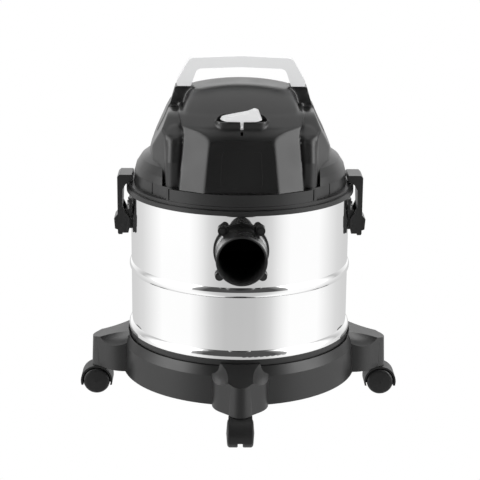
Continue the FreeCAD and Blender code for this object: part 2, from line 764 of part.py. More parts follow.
def makeLid():
    w = s.plasticWall
    r, z = s.lidRingRadius, s.lidRingTop
    plug = s.tankRadius - s.tankWall - 1
    seat = s.tankTop + 2.7
    well = s.wellRadius
    base = lathe("lidTurned", [
        (s.lidFlangeRadius - 1.4, s.lidFlangeBottom),
        (s.lidFlangeRadius, s.lidFlangeBottom),
        (s.lidFlangeRadius, s.lidStep - 4.6),
        (s.lidFlangeRadius - 3.6, s.lidStep - 4),
        (s.lidFlangeRadius - 3.6, s.lidStep),
        (r, s.lidStep),
        (r - 0.7, z),
        (well, z),
        (well, s.wellFloor + w),
        (s.suctionHole, s.wellFloor + w),
        (s.suctionHole, s.wellFloor),
        (well + w, s.wellFloor),
        (well + w, z - w),
        (r - w - 0.7, z - w),
        (r - w, s.lidStep - 4),
        (plug - w, s.lidStep - 5),
        (plug - w, s.tankTop - 14),
        (plug, s.tankTop - 14),
        (plug, seat),
        (s.lidFlangeRadius - 1.4, seat),
    ])
    shoulders = []
    for side, sign in (("left", -1), ("right", 1)):
        turned = lathe(side + "ShoulderTurned", shoulderProfile())
        near, far = 100, s.lidFlangeRadius + 5
        xs = (near, far) if sign > 0 else (-far, -near)
        keep = box(side + "ShoulderKeep", xs, (-r, r), (z - 1, s.shoulderTop + 5))
        shoulders.append(common(side + "Shoulder", turned, keep))
    fronts = []
    for end, sign in (("front", -1), ("rear", 1)):
        band = ring(end + "Band", s.frontRingRadius, r - 3, s.lidStep - 1, z)
        reach = s.frontRingRadius + 5
        ys = (-reach, 0.76 * -s.frontRingRadius) if sign < 0 else (0.76 * s.frontRingRadius, reach)
        fronts.append(common(end + "Segment", band,
                             box(end + "SegmentBox", (-reach, reach), ys, (s.lidStep - 1, z))))
    spigot = ring("cageSpigot", s.filterCageRadius - 3, s.filterCageRadius - 6, s.wellFloor - 6, s.wellFloor)
    grooves = []
    for i, angle in enumerate((38.5, 53.7)):
        for side in (-1, 1):
            for end in (-1, 1):
                name = "lidGroove%d%d%d" % (i, side + 1, end + 1)
                x = side * math.sin(math.radians(angle)) * (r + (5 if i == 0 else -0.5))
                y = end * math.cos(math.radians(angle)) * (r + (5 if i == 0 else -0.5))
                grooves.append(rod(name, 1.1, z - s.lidStep + 2, (x, y, s.lidStep + 1)))
    bosses, screwHoles = [], []
    for i, (x, y) in enumerate(coverScrewSpots()):
        bosses.append(rod("coverBoss%d" % i, 5.5, 16, (x, y, z - 17)))
        screwHoles.append(rod("coverScrewHole%d" % i, 2, 30, (x, y, z - 20)))
    solid = fuse("lidSolid", base, spigot, *(shoulders + fronts + bosses))
    node("lid", cut("lidDone", solid, *(grooves + screwHoles)))
    node("lid_seal", ring("lidSeal", s.tankRadius + 3.6, s.tankRadius - 0.6, s.tankTop, seat))


def coverScrewSpots():
    return ((-88, -98), (88, -98), (-88, 98), (88, 98))


def frontSilhouette(inset, base):
    """The cover seen from the front: towers at the top, flaring out to the shoulders."""
    t = s.towerTop - inset
    return mirrored([
        (119.5 - inset, base),
        (119 - inset, 348),
        (107 - inset, 372),
        (s.towerHalfSpan + 10.7 - inset, s.towerTop - 30),
        (s.towerHalfSpan + 6 - inset, s.towerTop - 10),
        (s.towerHalfSpan + 2 - inset, t),
    ])


def frontSilhouetteTall():
    """The same sides run on up to the handle's feet."""
    side = s.towerHalfSpan
    return mirrored([
        (119, s.coverBase),
        (119, 348),
        (107, 372),
        (side + 10.7, s.towerTop - 30),
        (side + 6, s.towerTop - 10),
        (side + 0.7, s.handleFoot + 5),
    ])


def makeProfiles(name, inset, base):
    """The cover's envelope: what its front, side and top outlines have in common."""
    half = s.towerHalfSpan - inset
    corners = frontSilhouette(inset, base)
    arcAt = len(corners) // 2
    corners[arcAt] = corners[arcAt][:2] + (510, 1)
    front = pad(name + "Front", corners, "xz", -160, 160)
    f, ft = s.coverFront - inset, s.coverFrontTop - inset
    side = pad(name + "Side", [
        (-f, base),
        (f, base),
        (ft + 2, s.coverBreak - 12),
        (46, s.coverTop - 3 - inset, 160 - inset, 1),
        (-24, s.coverTop - 1.5 - inset, 420, 1),
        (-ft, s.coverBreak - inset * 0.5, 190 - inset, 1),
    ], "yz", -160, 160)
    k = inset
    plan = pad(name + "Plan", mirrored([
        (46 - k * 0.7, -f),
        (76 - k, -122 + k),
        (80 - k, -108 + k),
        (98 - k, -96 + k),
        (106 - k, -88 + k),
        (114 - k, -50),
        (119.5 - k, 0),
        (114 - k, 50),
        (106 - k, 88 - k),
        (98 - k, 96 - k),
        (80 - k, 108 - k),
        (76 - k, 122 - k),
        (46 - k * 0.7, f),
    ]), "xy", base, s.coverTop + 20)
    return common(name, front, side, plan)


def panelSolid(name, front, thick, grow):
    """The flat front panel's space: its outline, between two leaning planes."""
    base, top = s.coverBase + 0.5, s.panelTop + grow
    lean = s.coverFront - s.coverFrontTop
    rise = s.coverBreak - s.coverBase
    atTop = -s.coverFront + lean * ((top - s.coverBase) / rise)
    outline = pad(name + "Outline", mirrored([
        (s.panelHalfWidth + grow, base - grow),
        (s.panelTopHalfWidth + grow, top - 9),
        (s.panelTopHalfWidth - 7, top, 9, 1),
    ]), "xz", -160, -100)
    band = pad(name + "Band", [
        (-s.coverFront - front, base - grow),
        (-s.coverFront + thick, base - grow),
        (atTop + thick, top),
        (atTop - front, top),
    ], "yz", -60, 60)
    return common(name, outline, band)


def makeCover():
    w = s.plasticWall
    z = s.coverBase
    outer = makeProfiles("coverOuter", 0, z)
    inner = makeProfiles("coverInner", 3, z - 1)
    shell = cut("coverShell", outer, inner)
    lidRoom = []
    for side, sign in (("left", -1), ("right", 1)):
        keepX = (99.5, s.lidFlangeRadius + 6) if sign > 0 else (-s.lidFlangeRadius - 6, -99.5)
        drum = lathe(side + "ShoulderRoom", [
            (0, z - 2), (s.lidRingRadius + 4, z - 2), (s.lidRingRadius - 3.2, z + 10),
            (s.lidRingRadius - 9.7, z + 20.2),
            (s.lidRingRadius - 18.8, z + 26.8), (s.lidRingRadius - 27.8, s.shoulderTop + 0.3),
            (0, s.shoulderTop + 0.3),
        ])
        slot = box(side + "ShoulderSlot", keepX, (-s.lidRingRadius, s.lidRingRadius),
                   (z - 2, s.shoulderTop + 2))
        lidRoom.append(common(side + "ShoulderTool", drum, slot))
    towers, seats, tenonHoles, niches, tenons = [], [], [], [], []
    span = s.towerHalfSpan
    depth = s.handleHalfDepth
    for side, sign in (("left", -1), ("right", 1)):
        def spread(a, b):
            return (a, b) if sign > 0 else (-b, -a)

        towers.append(box(side + "Tower", spread(span - 22, span + 3), (-depth - 2, depth + 2),
                          (s.towerFloor, s.handleFoot)))
        seats.append(box(side + "Seat", spread(span - 23, span + 12), (-depth - 0.3, depth + 0.3),
                         (s.handleFoot, 460)))
        tenonHoles.append(box(side + "TenonHole", spread(span - 18, span - 4), (-9, 9), (404, 445)))
        tenonHoles.append(rod(side + "HandleScrewHole", 2, 30, (sign * (span - 11), 0, s.towerFloor - 5)))
        niches.append(box(side + "Niche", spread(span - 19, span - 1), (-70, -depth - 2), (399, 445)))
        tenons.append(box(side + "Tenon", spread(span - 18, span - 4), (-9, 9), (404, s.handleFoot + 1)))
    taller = pad("towerSides", frontSilhouetteTall(), "xz", -40, 40)
    towerMass = common("towerMass", taller, fuse("towerBoxes", *towers))
    nicheFloors = []
    for side, sign in (("left", -1), ("right", 1)):
        xs = (span - 22, span + 12) if sign > 0 else (-span - 12, 22 - span)
        nicheFloors.append(box(side + "NicheFloor", xs, (-75, -depth - 2), (396, 399)))
        xs = (span - 22, span - 19) if sign > 0 else (19 - span, 22 - span)
        nicheFloors.append(box(side + "NicheWall", xs, (-75, -depth - 2), (396, 445)))
        xs = (span - 1, span + 12) if sign > 0 else (-span - 12, 1 - span)
        nicheFloors.append(box(side + "NicheOuter", xs, (-75, -depth - 2), (396, 445)))
    nicheMass = common("nicheMass", outer, fuse("nicheBoxes", *nicheFloors))
    pocketFloor = common("pocketFloor", outer, box("pocketBlock", (-36, 36), (-125, -84), (376, 440)))
    ends = [rod("pocketEnd%d" % i, 11.2, 60, (side * 21.5, -s.switchDepth, 379)) for i,
            side in enumerate((-1, 1))]
    middle = box("pocketMiddle", (-21.5, 21.5), (-s.switchDepth - 11.2, -s.switchDepth + 11.2), (379, 439))
    stemSlot = box("stemSlot", (-2.2, 2.2), (-125, -s.switchDepth), (384, 440))
    panelBack = common("panelBack", outer, panelSolid("panelBacking", 0, 6, 2))
    panelRoom = panelSolid("panelRoom", 3, s.panelThick, 0.3)
    grilleBack = common("grilleBack", outer, box("grilleFrame", (-40, 40), (110, 145), (322, 366)))
    grilleRoom = box("grilleRoom", (-36, 36), (s.coverFront - 11, 150), (326, 362))
    grilleDuct = box("grilleDuct", (-33, 33), (100, 150), (329, 359))
    screwPosts, screwTools = [], []
    for i, (x, y) in enumerate(coverScrewSpots()):
        screwPosts.append(common("screwPost%d" % i, outer, rod("screwPostRod%d" % i, 9, 4, (x, y, z))))
        screwTools.append(rod("screwAccess%d" % i, 6.5, 26, (x, y, z + 4)))
        screwTools.append(rod("screwBore%d" % i, 2, 30, (x, y, z - 1)))
    glandBoss = common("glandBoss", outer, box("glandBlock", (51, 77), (111, 140), (321, 347)))
    glandHole = rod("glandHole", 8, 40, (64, 105, 334), "y")
    glandRoom = rod("glandRoom", 10.3, 40, (64, 117, 334), "y")
    solid = fuse("coverSolid", shell, towerMass, nicheMass, pocketFloor, panelBack, grilleBack, glandBoss,
                 *screwPosts)
    bearingHole = rod("rockerSeat", 1.5 + s.runGap, 27, (0, -s.switchDepth - 13.5, s.switchPivot), "y")
    tools = lidRoom + seats + tenonHoles + niches + ends + screwTools
    tools += [middle, stemSlot, panelRoom, grilleRoom, grilleDuct, glandHole, glandRoom, bearingHole]
    node("motor_cover", cut("motorCover", solid, *tools))
    node("front_panel", common("frontPanel", panelSolid("panelPlate", 0, s.panelThick, 0), outer))
    node("handle", makeHandle(tenons))
    cover = screws("coverScrews", [(x, y, z + 4) for x, y in coverScrewSpots()], "-z", 4, 2.4, 2,
                   s.screwLength)
    grips = [(sign * (span - 11), 0, s.towerFloor) for sign in (-1, 1)]
    handle = screws("handleScrews", grips, "z", 4, 2.4, 2, s.screwLength)
    node("head_screws", group("headScrews", cover, handle))
    slats = [box("slat%d" % i, (-35.5, 35.5), (s.coverFront - 11, s.coverFront - 8), (low, low + 3))
             for i, low in enumerate(range(330, 358, 6))]
    frame = cut("grilleRim", box("grilleRimOuter", (-35.7, 35.7), (s.coverFront - 11, s.coverFront - 8),
                                 (326.3, 361.7)),
                box("grilleRimInner", (-32.5, 32.5), (s.coverFront - 12, s.coverFront - 7), (329, 359)))
    bars = [box("bar%d" % i, (x, x + 2), (s.coverFront - 11, s.coverFront - 8), (327, 361)) for i,
            x in enumerate((-17, -1, 15))]
    node("exhaust_grille", fuse("exhaustGrille", frame, *(slats + bars)))
    gland = lathe("glandTurned", [
        (4, 0), (7.9, 0), (7.9, 9), (10, 9), (10, 12), (6.5, 22), (4, 22),
    ], (64, 108, 334), "y")
    node("cord_gland", gland)


def makeHandle(tenons):
    half, top, foot = s.handleHalfSpan, s.handleTop, s.handleFoot
    bar = s.handleBar
    corners = mirrored([
        (half - 20.5, foot),
        (half, foot),
        (half, foot + 6),
        (half - 21.5, top - 3),
    ])
    n = len(corners) // 2
    corners[n] = corners[n][:2] + (600, 1)
    arch = pad("handleArch", corners, "xz", -s.handleHalfDepth, s.handleHalfDepth)
    window = pad("handleWindow", mirrored([
        (half - 20.5, foot - 5),
        (half - 22.3, foot + 8),
        (half - 31.5, top - bar + 0.5),
    ]), "xz", -s.handleHalfDepth - 5, s.handleHalfDepth + 5)
    opened = cut("handleOpened", arch, window)
    holes = [rod("handleThread%d" % i, 2, 20, (x * (half - 11.5), 0, foot - 30)) for i,
             x in enumerate((-1, 1))]
    return cut("handleDone", fuse("handleSolid", opened, *tenons), *holes)


def makeSwitch():
    half, depth, pivot = s.rockerHalfLength, s.switchDepth, s.switchPivot
    rocker = pad("rockerWing", [
        (-half, pivot + 8),
        (-half + 2, pivot + 10.5),
        (8, pivot + 17),
        (15, pivot + 20),
        (half - 6, pivot + 18, 8, -1),
        (half - 2, pivot + 8),
        (3, pivot + 3),
        (1.7, pivot - 4),
        (-1.7, pivot - 4),
        (-3, pivot + 3),
    ], "xz", -depth - 9.5, -depth + 9.5)
    plan = [rod("rockerEnd%d" % i, 10, 40, (x * (half - 10), -depth, pivot - 10)) for i,
            x in enumerate((-1, 1))]
    plan.append(box("rockerMiddle", (10 - half, half - 10), (-depth - 10, -depth + 10),
                    (pivot - 10, pivot + 30)))
    rocker = common("rockerRound", rocker, fuse("rockerPlan", *plan))
    hub = rod("rockerHub", 4, 19, (0, -depth - 9.5, pivot), "y")
    trunnion = rod("rockerTrunnion", 1.5, 25, (0, -depth - 12.5, pivot), "y")
    node("switch_rocker", fuse("rockerSolid", rocker, hub, trunnion))
    bodyBox = box("switchCase", (-17, 17), (-depth - 9, -depth + 9), (352, 376))
    tabs = [box("switchTab%d" % i, (x, x + 0.8), (-depth - 3, -depth + 3), (343, 352)) for i,
            x in enumerate((-10, 0, 10))]
    node("switch_body", fuse("switchBody", bodyBox, *tabs))


def makeMotor():
    w = s.plasticWall
    floor = s.wellFloor + w
    can = s.fanCanRadius
    low = floor + 3
    node("motor_mount_ring", lathe("mountRing", [
        (50, floor), (can + 4, floor), (can + 4, low + 4), (can + 0.2, low + 4), (can + 0.2, low), (50, low),
    ]))
    canTop = low + 34
    node("fan_housing", lathe("fanHousing", [
        (20, low), (can, low), (can, canTop), (12, canTop), (12, canTop - 1.5), (can - 1.5, canTop - 1.5),
        (can - 1.5, low + 1.5), (20, low + 1.5),
    ]))
    plateLow, plateHigh = low + 7, low + 9
    hub = lathe("impellerPlates", [
        (s.shaftRadius, plateLow), (9, plateLow), (9, low + 23), (62, low + 23), (62, low + 24.5),
        (s.shaftRadius, low + 24.5),
    ])
    frontPlate = lathe("impellerEye", [
        (20, plateLow), (24, plateLow), (62, low + 13), (62, low + 14.5), (24, plateHigh), (20, plateHigh),
    ])
    blade = pad("impellerBlade", [
        (22, -0.8), (61, 13, 60, 1), (61.4, 14.6), (22, 0.8, 60, -1),
    ], "xy", low + 8, low + 23.5)
    blades = []
    for i in range(7):
        turned = doc.addObject("Part::Feature", "impellerBlade%d" % i)
        blades.append((turned, i))
    doc.recompute()
    for turned, i in blades:
        turned.Shape = blade.Shape.copy()
        turned.Placement = FreeCAD.Placement(Vector(), FreeCAD.Rotation(Vector(0, 0, 1), 360 / 7 * i))
    ceiling = lathe("bladeRoom", [
        (0, plateLow), (24, plateLow), (62, low + 13), (62, low + 24), (0, low + 24),
    ])
    trimmed = common("trimmedBlades", ceiling, fuse("allBlades", *[b for b, _ in blades]))
    node("impeller", fuse("impellerDone", hub, frontPlate, trimmed))
    node("impeller_nut", ring("impellerNut", 7, s.shaftRadius, plateLow - 4, plateLow))
    shaftLow, shaftHigh = plateLow - 6, canTop + 80
    node("motor_shaft", rod("motorShaft", s.shaftRadius, shaftHigh - shaftLow, (0, 0, shaftLow)))
    bearings = []
    for i, z in enumerate((canTop - 1.5, canTop + 68)):
        bearings.append(ring("bearing%d" % i, 11, s.shaftRadius + s.runGap, z, z + 7))
    node("motor_bearings", group("motorBearings", *bearings))
    stackLow, stackHigh = canTop + 18, canTop + 48
    core = ring("armatureStack", s.armatureRadius, s.shaftRadius, stackLow, stackHigh)
    coilLow = ring("armatureCoilLow", s.armatureRadius - 4, s.shaftRadius, stackLow - 7, stackLow)
    coilHigh = ring("armatureCoilHigh", s.armatureRadius - 4, s.shaftRadius, stackHigh, stackHigh + 7)
    commutator = ring("commutator", 12, s.shaftRadius, stackHigh + 7, stackHigh + 17)
    node("armature", fuse("armatureDone", core, coilLow, coilHigh, commutator))
    r = s.statorRadius
    stack = cut("statorStack", common("statorBlock",
                                      rod("statorRound", r, stackHigh - stackLow, (0, 0, stackLow)),
                                      box("statorSquare", (6 - r, r - 6), (-r, r), (stackLow, stackHigh))),
                rod("statorBore", s.armatureRadius + 0.8, 60, (0, 0, stackLow - 10)))
    coils = []
    for i, sign in enumerate((-1, 1)):
        for j, (a, b) in enumerate(((stackLow - 8, stackLow), (stackHigh, stackHigh + 8))):
            ys = (28, 40) if sign > 0 else (-40, -28)
            coils.append(box("statorCoil%d%d" % (i, j), (-22, 22), ys, (a, b)))
    node("motor_stator", fuse("statorDone", stack, *coils))
    lowPlate = ring("frameLow", 56, 11, canTop, canTop + 4)
    highPlate = cut("frameHigh", box("frameHighBar", (-56, 56), (-16, 16), (canTop + 67, canTop + 75)),
                    rod("frameHighHole", 11, 9, (0, 0, canTop + 66.5)))
    legs = [box("frameLeg%d" % i, (x, x + 6), (-13, 13), (canTop + 3, canTop + 68)) for i,
            x in enumerate((-53, 47))]
    node("motor_frame", fuse("motorFrame", lowPlate, highPlate, *legs))
    brushes = []
    for i, x in enumerate((-32, 12.3)):
        brushes.append(box("brush%d" % i, (x, x + 19.7), (-4, 4), (stackHigh + 8.5, stackHigh + 15.5)))
    node("carbon_brushes", group("carbonBrushes", *brushes))


def makeFilter():
    r, low, high = s.filterCageRadius, s.cageBottom, s.wellFloor
    inner = r - 3
    can = lathe("cageCan", [
        (0, low), (r, low), (r, high), (inner, high), (inner, low + 3), (0, low + 3),
    ])
    slots = []
    for i in range(6):
        bar = doc.addObject("Part::Box", "cageSlot%d" % i)
        bind(bar, "Length", 2 * r + 20)
        bar.Width = 20
        bind(bar, "Height", high - low - 26)
        turn = FreeCAD.Rotation(Vector(0, 0, 1), 30 * i)
        start = turn.multVec(Vector(-r.number - 10, -10, 0))
        bar.Placement = FreeCAD.Placement(start, turn)
        bind(bar, "Placement.Base.z", low + 9)
        slots.append(bar)
    floorHoles = [rod("cageFloorHole%d" % i, 9, 5, (x, y, low - 1))
                  for i, (x, y) in enumerate(((32, 0), (-32, 0), (0, 32), (0, -32), (0, 0)))]
    basket = cut("cageOpened", can, *(slots + floorHoles))
    guides = []
    guide = s.floatRadius + 0.8
    for i, (a, b) in enumerate(((1, 0), (-1, 0), (0, 1), (0, -1))):
        if a:
            xs = (guide, inner + 1) if a > 0 else (-inner - 1, -guide)
            guides.append(box("guide%d" % i, xs, (-1.5, 1.5), (low + 2, high)))
        else:
            ys = (guide, inner + 1) if b > 0 else (-inner - 1, -guide)
            guides.append(box("guide%d" % i, (-1.5, 1.5), ys, (low + 2, high)))
    spigotRoom = ring("spigotRoom", inner, r - 6.3, high - 6.3, high + 1)
    solid = fuse("cageSolid", basket, *guides)
    node("filter_cage", cut("filterCage", solid, spigotRoom))
    bottom = low + 3.3
    f = s.floatRadius
    node("float", lathe("floatTurned", [
        (0, bottom), (f - 3, bottom), (f, bottom + 3), (f, bottom + 26), (f - 6, bottom + 34, 10, 1),
        (0, bottom + 36),
        (0, bottom + 33), (f - 8, bottom + 31), (f - 3, bottom + 25), (f - 3, bottom + 5),
        (f - 5, bottom + 3), (0, bottom + 3),
    ]))
    node("filter_sleeve", ring("filterSleeve", r + 8, r + 0.3, low + 3, high - 3))


spots = makeDolly()
makeCasters()
makeTank(spots)
makeInlet()
makeLatches()
makeRivets()
makeLid()
makeCover()
makeSwitch()
makeMotor()
makeFilter()

doc.recompute()
for thing in doc.Objects:
    if "Invalid" in thing.State or "Error" in thing.State:
        raise RuntimeError("%s failed: %s" % (thing.Name, thing.State))
for label, thing in nodes.items():
    shape = thing.Shape
    if shape.isNull() or not shape.isValid() or shape.Volume <= 0:
        raise RuntimeError("%s has no valid solid" % label)

os.makedirs("parts", exist_ok=True)
for label, thing in nodes.items():
    thing.Shape.exportStep("parts/%s.step" % label)
print(len(nodes), "sub-parts written")
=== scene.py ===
import json
import math

import bmesh
import bpy
import numpy as np
from mathutils import Matrix, Vector


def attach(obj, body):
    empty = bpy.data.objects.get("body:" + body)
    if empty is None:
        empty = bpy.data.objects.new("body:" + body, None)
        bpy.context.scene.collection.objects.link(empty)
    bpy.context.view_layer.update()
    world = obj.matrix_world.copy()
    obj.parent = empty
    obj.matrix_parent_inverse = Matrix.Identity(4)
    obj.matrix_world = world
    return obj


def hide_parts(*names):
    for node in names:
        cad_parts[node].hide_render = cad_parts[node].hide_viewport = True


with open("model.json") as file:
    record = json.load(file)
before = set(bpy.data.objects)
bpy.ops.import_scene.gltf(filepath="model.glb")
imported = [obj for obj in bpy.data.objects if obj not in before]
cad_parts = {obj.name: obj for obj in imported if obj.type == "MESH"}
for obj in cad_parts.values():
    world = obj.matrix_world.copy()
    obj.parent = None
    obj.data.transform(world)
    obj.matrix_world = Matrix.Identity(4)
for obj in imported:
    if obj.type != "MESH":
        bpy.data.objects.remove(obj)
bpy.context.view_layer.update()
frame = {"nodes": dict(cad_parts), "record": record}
nodes = frame["nodes"]
print("frame loaded:", len(nodes), "nodes")

scene = bpy.context.scene
scene.view_settings.view_transform = "Standard"

# camera: a long lens, a little above the object
camera = {
    "distance": 2.0,
    "elevation": 15.75,
    "azimuth": 0.9,
    "roll": 0.5,
    "lens": 111.5,
    "height": 0.215,          # of the point it looks at
    "side": 0.0006,
}


def makeCamera(c):
    data = bpy.data.cameras.new("camera")
    data.lens = c["lens"]
    data.sensor_width = 36
    data.clip_end = 20
    made = bpy.data.objects.new("camera", data)
    scene.collection.objects.link(made)
    e, a = math.radians(c["elevation"]), math.radians(c["azimuth"])
    target = Vector((c["side"], 0, c["height"]))
    away = Vector((-math.sin(a) * math.cos(e), -math.cos(a) * math.cos(e), math.sin(e)))
    made.location = target + away * c["distance"]
    aim = (-away).to_track_quat("-Z", "Y").to_matrix().to_4x4()
    roll = Matrix.Rotation(math.radians(c["roll"]), 4, "Z")
    made.matrix_world = Matrix.Translation(made.location) @ aim @ roll
    scene.camera = made


makeCamera(camera)
print("camera placed")


class Nodes:
    def __init__(self, name):
        self.material = bpy.data.materials.new(name)
        self.material.use_nodes = True
        self.tree = self.material.node_tree
        self.shader = self.tree.nodes["Principled BSDF"]
        self.place = self.add("ShaderNodeTexCoord").outputs["Object"]

    def add(self, kind, **values):
        made = self.tree.nodes.new(kind)
        for key, value in values.items():
            setattr(made, key, value)
        return made

    def link(self, source, target):
        self.tree.links.new(source, target)

    def math(self, operation, a, b=0.0):
        made = self.add("ShaderNodeMath", operation=operation)
        for slot, value in ((0, a), (1, b)):
            if isinstance(value, (int, float)):
                made.inputs[slot].default_value = value
            else:
                self.link(value, made.inputs[slot])
        return made.outputs[0]

    def axes(self):
        made = self.add("ShaderNodeSeparateXYZ")
        self.link(self.place, made.inputs[0])
        return made.outputs

    def stretched(self, x, y, z):
        mapping = self.add("ShaderNodeMapping")
        mapping.inputs["Scale"].default_value = (x, y, z)
        self.link(self.place, mapping.inputs["Vector"])
        return mapping.outputs["Vector"]

    def noise(self, size, detail=3.0, rough=0.5, vector=None):
        made = self.add("ShaderNodeTexNoise")
        made.inputs["Scale"].default_value = size
        made.inputs["Detail"].default_value = detail
        made.inputs["Roughness"].default_value = rough
        self.link(vector or self.place, made.inputs["Vector"])
        return made.outputs["Fac"]

    def spread(self, source, low, high, start=0.3, stop=0.7):
        made = self.add("ShaderNodeMapRange")
        made.inputs["From Min"].default_value = start
        made.inputs["From Max"].default_value = stop
        made.inputs["To Min"].default_value = low
        made.inputs["To Max"].default_value = high
        self.link(source, made.inputs["Value"])
        return made.outputs["Result"]

    def tones(self, source, dark, light):
        made = self.add("ShaderNodeValToRGB")
        ramp = made.color_ramp.elements
        ramp[0].position, ramp[1].position = 0.3, 0.7
        ramp[0].color = (*dark, 1)
        ramp[1].color = (*light, 1)
        self.link(source, made.inputs["Fac"])
        return made.outputs["Color"]

    def dim(self, colour, factor):
        made = self.add("ShaderNodeVectorMath", operation="SCALE")
        self.link(colour, made.inputs[0])
        self.link(factor, made.inputs["Scale"])
        return made.outputs["Vector"]

    def bump(self, source, strength, distance):
        made = self.add("ShaderNodeBump")
        made.inputs["Strength"].default_value = strength
        made.inputs["Distance"].default_value = distance
        self.link(source, made.inputs["Height"])
        self.link(made.outputs["Normal"], self.shader.inputs["Normal"])

    def set(self, **values):
        for key, value in values.items():
            self.shader.inputs[key.replace("_", " ")].default_value = value


# hose port's bore, darkened by painted shade: its axis' height, how far the painted shade dims the colour,
# the radii between which its wall darkens, and its mouth's depth
port = {
    "height": 0.242,
    "dim": 0.12,
    "boreShadeFade": (0.0291, 0.0297),
    "mouth": -0.1925,
}


def plastic(name, dark, light, rough, grain=0.00006, grainSize=1400, specular=0.5, paintBoreShade=False):
    m = Nodes(name)
    colour = m.tones(m.noise(9, 4), dark, light)
    rough = m.spread(m.noise(26, 5), rough[0], rough[1])
    if paintBoreShade:  # painted shade: inside the hose port the colour is darkened as if unlit, and made dull
        x, y, z = m.axes()
        up = m.math("SUBTRACT", z, port["height"])
        reach = m.math("SQRT", m.math("ADD", m.math("MULTIPLY", x, x), m.math("MULTIPLY", up, up)))
        # painted shade: full colour outside the bore's wall radii and in front of its mouth, darkened inside
        boreShadeFade = m.spread(reach, port["dim"], 1.0, *port["boreShadeFade"])
        paintedShadeFactor = m.math("MAXIMUM", boreShadeFade, m.math("LESS_THAN", y, port["mouth"]))
        colour = m.dim(colour, paintedShadeFactor)
        rough = m.math("MAXIMUM", rough, m.math("SUBTRACT", 1.0, paintedShadeFactor))
    m.link(colour, m.shader.inputs["Base Color"])
    m.link(rough, m.shader.inputs["Roughness"])
    m.set(Specular_IOR_Level=specular)
    m.bump(m.noise(grainSize, 2), 0.35, grain)
    return m.material


def steel(name, dark, light, rough, wave=0.0, stretch=(1, 1, 1)):
    m = Nodes(name)
    m.link(m.tones(m.noise(7, 3), dark, light), m.shader.inputs["Base Color"])
    lines = m.noise(60, 4, 0.6, m.stretched(*stretch))
    m.link(m.spread(lines, rough[0], rough[1]), m.shader.inputs["Roughness"])
    m.bump(m.noise(5, 2), 0.4, wave)
    m.set(Metallic=1.0)
    return m.material


def grey(value, warm=0.0):
    return (value * (1 + warm), value, value * (1 - warm))


blackened = (grey(0.01), grey(0.014), (0.3, 0.4))
looks = {
    "black_plastic": plastic("black satin plastic", grey(0.0075), grey(0.0095), (0.3, 0.38), specular=0.5),
    "panel_plastic": plastic("panel plastic", grey(0.005), grey(0.0065), (0.42, 0.5), 0.0001, 900, 0.3),
    "pale_plastic": plastic("pale plastic", grey(0.84, -0.004), grey(0.88, -0.004), (0.28, 0.36), 0.00002),
    "wheel_plastic": plastic("wheel plastic", grey(0.006), grey(0.009), (0.38, 0.5), specular=0.4),
    "bush_plastic": plastic("bush plastic", grey(0.3), grey(0.36), (0.4, 0.5)),
    "black_rubber": plastic("black rubber", grey(0.006), grey(0.01), (0.6, 0.75), 0.0001, specular=0.3),
    "foam": plastic("foam", grey(0.02), grey(0.06), (0.85, 0.95), 0.0008, 500),
    "carbon": plastic("carbon", grey(0.02), grey(0.04), (0.5, 0.6)),
    "polished_steel": steel("polished steel", grey(0.9), grey(0.93), (0.02, 0.045), 0.0002, (1, 1, 9)),
    "plated_steel": steel("plated steel", grey(0.6), grey(0.68), (0.18, 0.28), 0.0002),
    "dark_steel": steel("dark steel", grey(0.25), grey(0.33), (0.35, 0.5), 0.0002, (1, 1, 40)),
    "copper_winding": steel(
        "copper winding", (0.5, 0.22, 0.09), (0.62, 0.3, 0.14), (0.3, 0.45), 0.0002, (1, 1, 60)),
    "aluminium": steel("aluminium", grey(0.55), grey(0.62), (0.35, 0.5), 0.0002),
}
# nodes that look different from the rest of their slot; the port fitting carries painted shade in its bore
special = {
    "inlet_fitting": plastic(
        "port plastic with painted bore shade", grey(0.005), grey(0.007), (0.26, 0.34), specular=0.45, paintBoreShade=True),
    # painted shade: the deflector inside the tank is coloured darker than the other black plastics, with
    # almost no shine, to stand for the unlit interior
    "inlet_deflector": plastic("deflector plastic darkened as painted shade", grey(0.0008), grey(0.0012), (0.5, 0.6), specular=0.02),
    "inlet_screws": plastic("blackened screws", *blackened),
    "latch_pin_left": plastic("blackened pin left", *blackened),
    "latch_pin_right": plastic("blackened pin right", *blackened),
}
for sub in frame["record"]["subparts"]:
    mesh = nodes[sub["node"]].data
    mesh.materials.clear()
    mesh.materials.append(special.get(sub["node"], looks[sub["material_slot"]]))
print("materials made:", len(looks))

# studio: what each direction round the object looks like in its surfaces
# each ramp's places run from the front (0) round to the rear (1), or for soft from below to above
studio = {
    "low": [
        (0.0, 0.56), (0.085, 0.57), (0.14, 0.64), (0.18, 0.73), (0.22, 0.88), (0.255, 0.99), (0.3, 1.08),
        (0.5, 1.08), (0.56, 0.97), (0.62, 0.86), (0.69, 0.75), (0.78, 0.69), (1.0, 0.62),
    ],
    "high": [
        (0.0, 0.07), (0.2, 0.08), (0.27, 0.4), (0.31, 5.0), (0.43, 5.0), (0.5, 2.4), (0.56, 1.1),
        (0.64, 0.55), (0.74, 0.85), (0.85, 1.1), (1.0, 1.3),
    ],
    "horizon": (-0.16, -0.06),     # where low gives way to high
    "overhead": (0.72, 0.93),      # where high gives way to the zenith
    "zenith": (0.08, 1.3),         # tones in front of it and behind it
    "zenithTurn": (-0.2, 0.12),
    "soft": [(0.0, 0.03), (0.36, 0.4), (0.5, 1.02), (1.0, 1.12)],
    "frontal": 0.26,               # extra soft light from the front
    "backdrop": 1.0,
}


